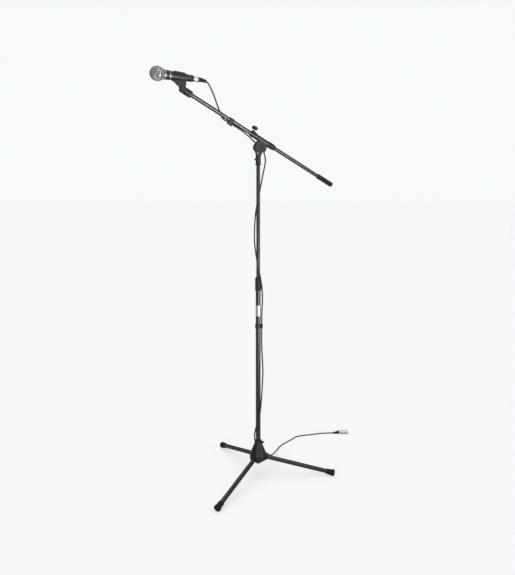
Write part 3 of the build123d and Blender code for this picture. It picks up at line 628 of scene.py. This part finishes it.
def make_microphone():
    make_front_grille()
    make_back_grille()
    make_foam()
    low, high = BAND
    lathe("grille_band", MIC_AXIS, [
        (24.8, low), (26.6, low), (27.4, low + 0.4), (27.7, low + 1.0), (27.7, high - 1.0),
        (27.3, high - 0.4), (26.5, high), (24.8, high),
    ], NICKEL, "microphone", "mesh", "mic_band", segments=128)
    bm = bmesh.new()
    add_lathe(bm, MIC_AXIS, [
        (14, NECK), (18.0, NECK), (18.5, NECK + 0.5), (18.6, NECK + 1.2), (18.3, 31), (18.3, 31.6),
        (18.5, 32),
        (18.2, 33), (14, 33),
    ], 96)
    ring = (48.0, 52.0)
    groove = mic_radius(ring[0]) - 0.8
    add_lathe(bm, MIC_AXIS, [
        (groove, ring[0]), (mic_radius(48) + 0.1, ring[0]), (mic_radius(48) + 0.25, 48.5),
        (mic_radius(52) + 0.25, 51.5), (mic_radius(52) + 0.1, ring[1]), (groove, ring[1]),
    ], 96)
    piece("mic_trim", bm, DULL_NICKEL, "microphone", "chrome", "mic_rings")
    lathe("mic_handle", MIC_AXIS, [
        (14, 33), (17.6, 33), (17.9, 34), (17.95, 35.5), (mic_radius(48) + 0.2, 47.6), (mic_radius(48), 48),
        (groove, 48), (groove, 52), (mic_radius(52), 52), (mic_radius(52) + 0.05, 52.6),
        (mic_radius(TAIL - 4), TAIL - 4), (mic_radius(TAIL) - 0.3, TAIL - 1), (mic_radius(TAIL) - 1, TAIL),
        (8.6, TAIL), (8.6, 124), (12.6, 60), (14, 50),
    ], ENAMEL, "microphone", "mic grey", "mic_body", segments=96)
    tail_screw = 128.0
    lift = 5.0
    radius = mic_radius(tail_screw)
    near = MIC_AXIS @ Vector((lift, -sqrt(radius ** 2 - lift ** 2), tail_screw))
    far = MIC_AXIS @ Vector((lift, sqrt(radius ** 2 - lift ** 2), tail_screw))
    spot = near if (near - far).dot(NEAR) > 0 else far
    centre = MIC_AXIS @ Vector((0, 0, tail_screw))
    lathe("mic_screw", place(spot, spot - centre, MIC_DIR), [
        (0, -0.5), (1.0, -0.5), (1.0, 0.1), (1.7, 0.25), (2.0, -0.1), (2.0, -1.2), (0, -1.2),
    ], NICKEL, "microphone", "chrome", segments=36, shape=hexagonal(1.1))
    lathe("lead_connector", MIC_AXIS, [
        (0, 133), (7.6, 133), (8.3, 134), (8.3, 149), (9.3, 149), (9.7, 149.7), (9.7, 153.6), (9.4, 154),
        (9.4, 154.8), (9.7, 155.2), (9.7, 163.5), (9.4, 163.9), (9.4, 164.5), (9.7, 164.9), (9.7, 167),
        (9.2, 167.8), (8.6, SOCKET_END), (0, SOCKET_END),
    ], NICKEL, "microphone", "chrome", "lead_socket", segments=96)


def add_strain_relief(bm, path, turn_axis, ribs, sides=48):
    """A soft tapered sleeve through (centre, lean, radius) sections, with staggered slots between ribs."""
    rings = []
    steps = 72
    slot_depth = 0.8
    for n in range(steps + 1):
        t = n / steps
        centre, lean, radius = path(t)
        turn = Matrix.Rotation(lean, 4, turn_axis)
        wave = (t - ribs[0]) / (ribs[1] - ribs[0]) * ribs[2]
        row = int(wave // 1)
        inside = 0 <= wave < ribs[2] and 0.3 < wave % 1 < 0.75
        ring = []
        for k in range(sides):
            a = 2 * pi * k / sides
            open_here = inside and abs(((a / pi * 2 + row * 0.5) % 1) - 0.5) < 0.36
            r = radius - (slot_depth if open_here else 0)
            ring.append(bm.verts.new(centre + turn @ Vector((r * cos(a), r * sin(a), 0))))
        rings.append(ring)
    for first, second in zip(rings, rings[1:]):
        for k in range(sides):
            m = (k + 1) % sides
            bm.faces.new([first[k], first[m], second[m], second[k]])
    bm.faces.new(rings[0])
    bm.faces.new(rings[-1])


def make_boots():
    """The strain reliefs where the lead leaves its two connectors."""
    length = BOOT_END - SOCKET_END

    def socket_path(t):
        radius = 9.2 - 3.6 * t ** 1.15
        return Vector((-BOOT_DROP * t ** 3, 0, SOCKET_END + length * t)), -BOOT_TURN * t ** 2.2, radius

    bm = bmesh.new()
    add_strain_relief(bm, socket_path, Vector((0, 1, 0)), (0.4, 0.95, 5))
    bmesh.ops.transform(bm, matrix=MIC_AXIS, verts=bm.verts)
    piece("socket_relief", bm, RUBBER, "microphone", "boot", "socket_boot", sharp=30)

    plug_lift = 9.5 - 4.4

    def plug_path(t):
        ease = t * t * (3 - 2 * t)
        return Vector((plug_lift * ease, 0, 34 * t)), 0.0, 4.2 + 4.4 * t

    bm = bmesh.new()
    add_strain_relief(bm, plug_path, Vector((0, 1, 0)), (0.08, 0.62, 5))
    bmesh.ops.transform(bm, matrix=PLUG, verts=bm.verts)
    piece("plug_relief", bm, RUBBER, "tripod", "boot", "plug_boot", sharp=30)
    shell = PLUG @ Matrix.Translation((plug_lift, 0, 0))
    lathe("plug_sleeve", shell, [
        (0, 34), (8.6, 34), (9.2, 34.5), (9.5, 35.5), (9.5, 41), (9.1, 41.4), (9.1, 42.2), (9.5, 42.6),
        (9.5, 79),
        (9.2, 79.4), (9.2, 80.4), (9.5, 80.8), (9.5, 81.6), (9.2, 82), (8.3, 82), (8.3, 62), (0, 62),
    ], NICKEL, "tripod", "chrome", "plug_shell", segments=96)


PLUG = place((0.4, 0.462, 0.0044), (1, 0, 0), UP)


# ---------------------------------------------------------------- pole, clamp and boom pieces
def make_grips():
    """The turning parts that a hand holds, and the rubber on the boom's end."""
    low, high = 866.5, 921.0
    lathe("clutch_sleeve", POLE, [
        (11.85, low), (12.4, low), (12.9, low + 0.6), (13.3, low + 2), (13.3, low + 4.5), (13.3, low + 6),
        (13.3, high - 10), (13.3, high - 8.5), (13.3, high - 6), (12.4, high - 3), (10.9, high - 0.3),
        (10.6, high),
        (8.3, high), (8.3, 915), (9.4, 915), (11.85, 897),
    ], PLASTIC, "clutch", "plastic black", "clutch_grip", segments=216,
        shape=fluted(18, 0.9, 0.22, 13, low + 5, high - 9), sharp=50)
    knob_at = place(joint_at("boom knob turn"), BOOM_UP, BOOM_DIR)
    lathe("knob_head", knob_at, [
        (3, 29), (3, 22), (4.5, 22), (5.4, 22.4), (6, 23.5), (11, 23.5), (12.1, 24), (12.6, 25.2),
        (12.6, 31.6),
        (12.1, 32.8), (10.9, 33.4), (9.4, 33.4), (8.9, 32.9), (0, 32.9), (0, 29),
    ], PLASTIC, "boom knob", "plastic black", "boom_knob", segments=144, shape=fluted(12, 1.2, 0.24, 11.5),
        sharp=50, closed=False)
    lathe("nut_head", TILT, [
        (4.05, 13.3), (9.5, 13.3), (10.6, 13.9), (11, 14.8), (11, 21.5), (10.5, 23), (9, 24.3),
        (5, 25.5), (0, 25.5),
        (0, 23.5), (4.05, 23.5),
    ], PLASTIC, "tilt knob", "plastic black", "tilt_knob", segments=144,
        shape=fluted(16, 0.8, 0.26, 8.5), sharp=50)
    lathe("collar_sleeve", BOOM_AXIS, [
        (10, -43), (11.7, -43), (12.2, -43.6), (12.4, -44.6), (12.4, -48), (11.9, -48.5),
        (11.9, -49.5), (12.4, -50),
        (12.4, -67), (11.9, -69), (11, -75), (10.5, -77), (9.8, -78), (8.3, -78), (8.3, -68), (10, -64),
    ], PLASTIC, "collar", "plastic black", "boom_collar", segments=144,
        shape=fluted(24, 0.55, 0.3, 12.3, -66, -51), sharp=50)
    profile = [(8.0, -332), (8.9, -332), (9.6, -332.5), (10.6, -334.5)]
    for n in range(9):
        at = -340 - 8 * n
        profile += [(10.6, at + 1.6), (10.1, at + 1.0), (9.9, at), (10.1, at - 1.0), (10.6, at - 1.6)]
    profile += [(10.6, -416.5), (10.2, -418.3), (9.2, -419.6), (8, -420), (0, -420), (0, -416), (8.0, -416)]
    lathe("boom_rubber", BOOM_AXIS, profile, RUBBER, "boom", "rubber black", "boom_grip", segments=96)


def make_screws():
    """Socket screws in the clamp and in the head."""
    bm = bmesh.new()
    for x, y in ((-35, 29), (-34, 9)):
        add_lathe(bm, TILT @ Matrix.Translation((x, y, 0)), [
            (0, 5.4), (1.5, 5.4), (1.5, 4.3), (2.7, 4.1), (3.2, 4.3), (3.4, 4.8), (3.4, 6.1),
            (1.8, 6.1), (1.8, 18), (0, 18),
        ], 48, hexagonal(1.6), closed=False)
    piece("clamp_screw_heads", bm, BLACK_STEEL, "clamp", "black steel", "clamp_screws")
    lathe("head_set_screw", place((0, 0, 1.419), (-1, 0, 0), UP), [
        (0, 7.8), (2.5, 7.8), (2.5, 14), (3.6, 14), (3.6, 15.3), (3.2, 15.9), (2.7, 16), (1.5, 15.8),
        (1.5, 14.8), (0, 14.8),
    ], BLACK_STEEL, "head", "black steel", "head_screw", segments=48, shape=hexagonal(1.6), closed=False)


# ---------------------------------------------------------------- legs
APEX_Z, FOOT_Z, FOOT_REACH, PIN_REACH = 103.4, 13.2, 348, 22.8
LEG_SLOPE = atan((APEX_Z - FOOT_Z) / FOOT_REACH)
LEG_LENGTH = (FOOT_REACH - PIN_REACH) / cos(LEG_SLOPE)


def make_feet():
    """Ribbed rubber caps, flattened where they stand on the floor."""
    start = LEG_LENGTH - 37.5
    for name in ("right", "back", "front"):
        out = joint_way(f"leg {name} fold").cross(UP)
        along = out * cos(LEG_SLOPE) - UP * sin(LEG_SLOPE)
        profile = [
            (9.8, start), (11.2, start), (12, start + 0.4), (12.4, start + 1.4), (12.4, start + 4.6),
            (12.1, start + 5.8), (11.7, start + 7),
        ]
        for n in range(4):
            at = start + 9 + 4.6 * n
            wide = 12.1 + 0.5 * n
            profile += [(wide, at), (wide - 0.5, at + 0.7), (wide - 0.5, at + 1.5), (wide + 0.15, at + 2.2)]
        profile += [
            (14.2, start + 28), (14.9, start + 31), (15.1, start + 33.5), (15.1, LEG_LENGTH - 2.2),
            (14.7, LEG_LENGTH - 0.8), (13.7, LEG_LENGTH), (9, LEG_LENGTH - 0.6), (0, LEG_LENGTH - 0.6),
            (0, LEG_LENGTH - 4), (9.8, LEG_LENGTH - 4),
        ]
        bm = bmesh.new()
        add_lathe(bm, place(joint_at(f"leg {name} fold"), along, UP), profile, 96)
        for vertex in bm.verts:
            vertex.co.z = max(vertex.co.z, 0)
        piece(f"foot_cap_{name}", bm, RUBBER, f"leg {name}", "rubber black", f"leg_{name}_foot")


make_microphone()
make_boots()
make_grips()
make_screws()
make_feet()
keep_cad(CAST, "hub", "swivel_head", "boom_clamp", bevel=0.5)
keep_cad(TUBE, "leg_right", "leg_back", "leg_front", "lower_tube", "upper_tube", "boom_tube")
keep_cad(
    PLASTIC, "hub_bush", "lower_tube_plug", "clutch_base", "clutch_collet", "pole_clip", "boom_clip",
    bevel=0.25,
)
keep_cad(PLASTIC, "pivot_washer", "clamp_pad", "upper_bush", "mic_connector")
keep_cad(PLASTIC, "leg_right_fitting", "leg_back_fitting", "leg_front_fitting", bevel=0.4)
keep_cad(CLIP, "clip_base", "clip_cradle", bevel=0.35)
keep_cad(BLACK_STEEL, "hub_thumbscrew", "pivot_bolt", "clip_bolt", bevel=0.3)
keep_cad(STEEL, "leg_pins", "boom_knob_screw", "boom_stud")
keep_cad(LABEL, "label_plate")
keep_cad(NICKEL, "plug_pins")
keep_cad(FOAM, "mic_capsule")


# ---------------------------------------------------------------- floor and light
def light_patch(tree, direction, half_angle, strength, soft=6.0):
    """A soft-edged round light far away in one direction; gives its brightness for each ray."""
    source = tree.nodes.new("ShaderNodeTexCoord")
    dot = tree.nodes.new("ShaderNodeVectorMath")
    dot.operation = "DOT_PRODUCT"
    dot.inputs[1].default_value = Vector(direction).normalized()
    tree.links.new(source.outputs["Generated"], dot.inputs[0])
    node = tree.nodes.new("ShaderNodeMapRange")
    node.interpolation_type = "SMOOTHSTEP"
    node.inputs["From Min"].default_value = cos(radians(half_angle + soft))
    node.inputs["From Max"].default_value = cos(radians(max(half_angle - soft, 0)))
    node.inputs["To Max"].default_value = strength
    tree.links.new(dot.outputs["Value"], node.inputs["Value"])
    return node.outputs["Result"]


PAPER_GLOW = (0.557, 0.557, 0.561, 1)
AIR_STRENGTH = 0.963
AMBIENT = 0.07
# direction, half angle in degrees, strength
SOFT_LIGHTS = (
    ((-0.1, -0.95, 0.2), 22, 1.3),
    ((0.8, -0.5, 0.15), 16, 2.0),
    ((0.0, -0.2, 0.95), 38, 0.95),
    ((-0.35, -0.55, 0.75), 13, 1.2),
    ((0.0, 1.0, 0.2), 75, 0.2),
)


def make_studio():
    """A wide pale floor, even pale air behind it and soft lights round the object."""
    bm = bmesh.new()
    half = 60.0
    cells = 12
    for row in range(-cells, cells + 1):
        for column in range(-cells, cells + 1):
            bm.verts.new((half * column / cells, half * row / cells, 0))
    bm.verts.ensure_lookup_table()
    width = 2 * cells + 1
    for row in range(width - 1):
        for column in range(width - 1):
            n = row * width + column
            bm.faces.new([bm.verts[n], bm.verts[n + 1], bm.verts[n + width + 1], bm.verts[n + width]])
    mesh = bpy.data.meshes.new("floor")
    bm.to_mesh(mesh)
    bm.free()
    material, tree, shader = new_material("floor_paper")
    shader.inputs["Roughness"].default_value = 1.0
    shader.inputs["Specular IOR Level"].default_value = 0.0
    paper = blend_colours(tree, noise(tree, 3, 3), (0.595, 0.598, 0.6), (0.605, 0.608, 0.61))
    tree.links.new(paper, shader.inputs["Base Color"])
    # the paper glows for the camera only, and leaves the object's own shading dark
    shader.inputs["Emission Color"].default_value = PAPER_GLOW
    path = tree.nodes.new("ShaderNodeLightPath")
    tree.links.new(path.outputs["Is Camera Ray"], shader.inputs["Emission Strength"])
    mesh.materials.append(material)
    floor = bpy.data.objects.new("floor", mesh)
    bpy.context.collection.objects.link(floor)

    scene = bpy.context.scene
    scene.view_settings.view_transform = "Standard"
    scene.world = bpy.data.worlds.new("studio")
    scene.world.use_nodes = True
    tree = scene.world.node_tree
    sky = tree.nodes["Background"]
    total = None
    for direction, half_angle, strength in SOFT_LIGHTS:
        patch = light_patch(tree, direction, half_angle, strength)
        if total is None:
            total = patch
            continue
        add = tree.nodes.new("ShaderNodeMath")
        add.operation = "ADD"
        tree.links.new(total, add.inputs[0])
        tree.links.new(patch, add.inputs[1])
        total = add.outputs[0]
    lit = tree.nodes.new("ShaderNodeMath")
    lit.operation = "ADD"
    lit.inputs[1].default_value = AMBIENT
    tree.links.new(total, lit.inputs[0])
    path = tree.nodes.new("ShaderNodeLightPath")
    seen = tree.nodes.new("ShaderNodeMix")
    tree.links.new(path.outputs["Is Camera Ray"], seen.inputs["Factor"])
    tree.links.new(lit.outputs[0], seen.inputs["A"])
    seen.inputs["B"].default_value = AIR_STRENGTH
    tree.links.new(seen.outputs["Result"], sky.inputs["Strength"])
    sky.inputs["Color"].default_value = (0.965, 0.985, 1.0, 1)


def make_low_light():
    """A soft panel low at the right, which draws a light line along the microphone and the boom."""
    data = bpy.data.lights.new("low_panel", "AREA")
    data.shape = "RECTANGLE"
    data.size = 1.3
    data.size_y = 0.8
    data.energy = 9
    data.spread = radians(70)
    lamp = bpy.data.objects.new("low_panel", data)
    bpy.context.collection.objects.link(lamp)
    lamp.location = (1.3, -1.9, 0.35)
    lamp.rotation_euler = (BALL - lamp.location).to_track_quat("-Z", "Y").to_euler()
    lamp.visible_camera = False


make_studio()
make_low_light()
